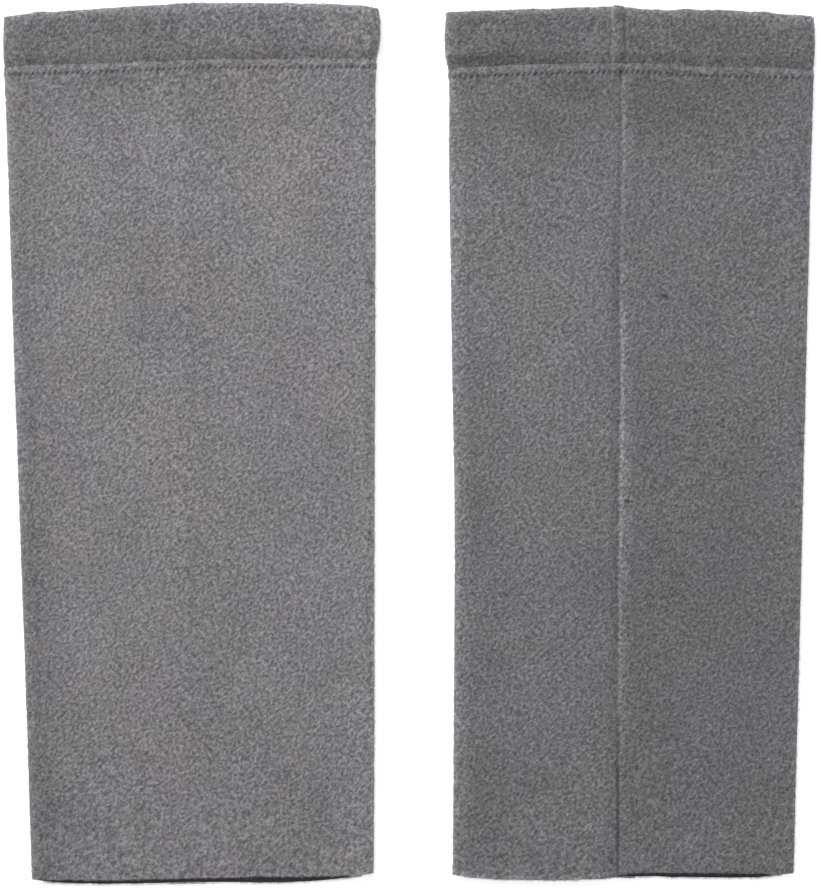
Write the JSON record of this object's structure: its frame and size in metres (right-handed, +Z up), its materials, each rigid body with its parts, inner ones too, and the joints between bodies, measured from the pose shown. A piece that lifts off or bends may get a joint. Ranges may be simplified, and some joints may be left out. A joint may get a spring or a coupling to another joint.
{
  "type": "pair of knee warmers",
  "caption": "Pair of tapered brushed-knit knee warmers laid flat, with doubled thigh bands, a topstitched band seam, a back seam and open cut hems.",
  "frame": {"origin": "centre of the pair's outline, on the surface it lies on", "axes": "+Y along the length towards the thigh bands, +X across from the warmer lying front up to the one lying back up, +Z up out of the surface"},
  "size_m": [0.3698, 0.4016, 0.0075],
  "materials": {
    "body_knit": "matt brushed knit, dark inside",
    "band_knit": "matt brushed knit, doubled"
  },
  "bodies": {
    "root": {"left_body": "body_knit", "left_band": "band_knit", "right_body": "body_knit", "right_band": "band_knit"}
  },
  "joints": []
}
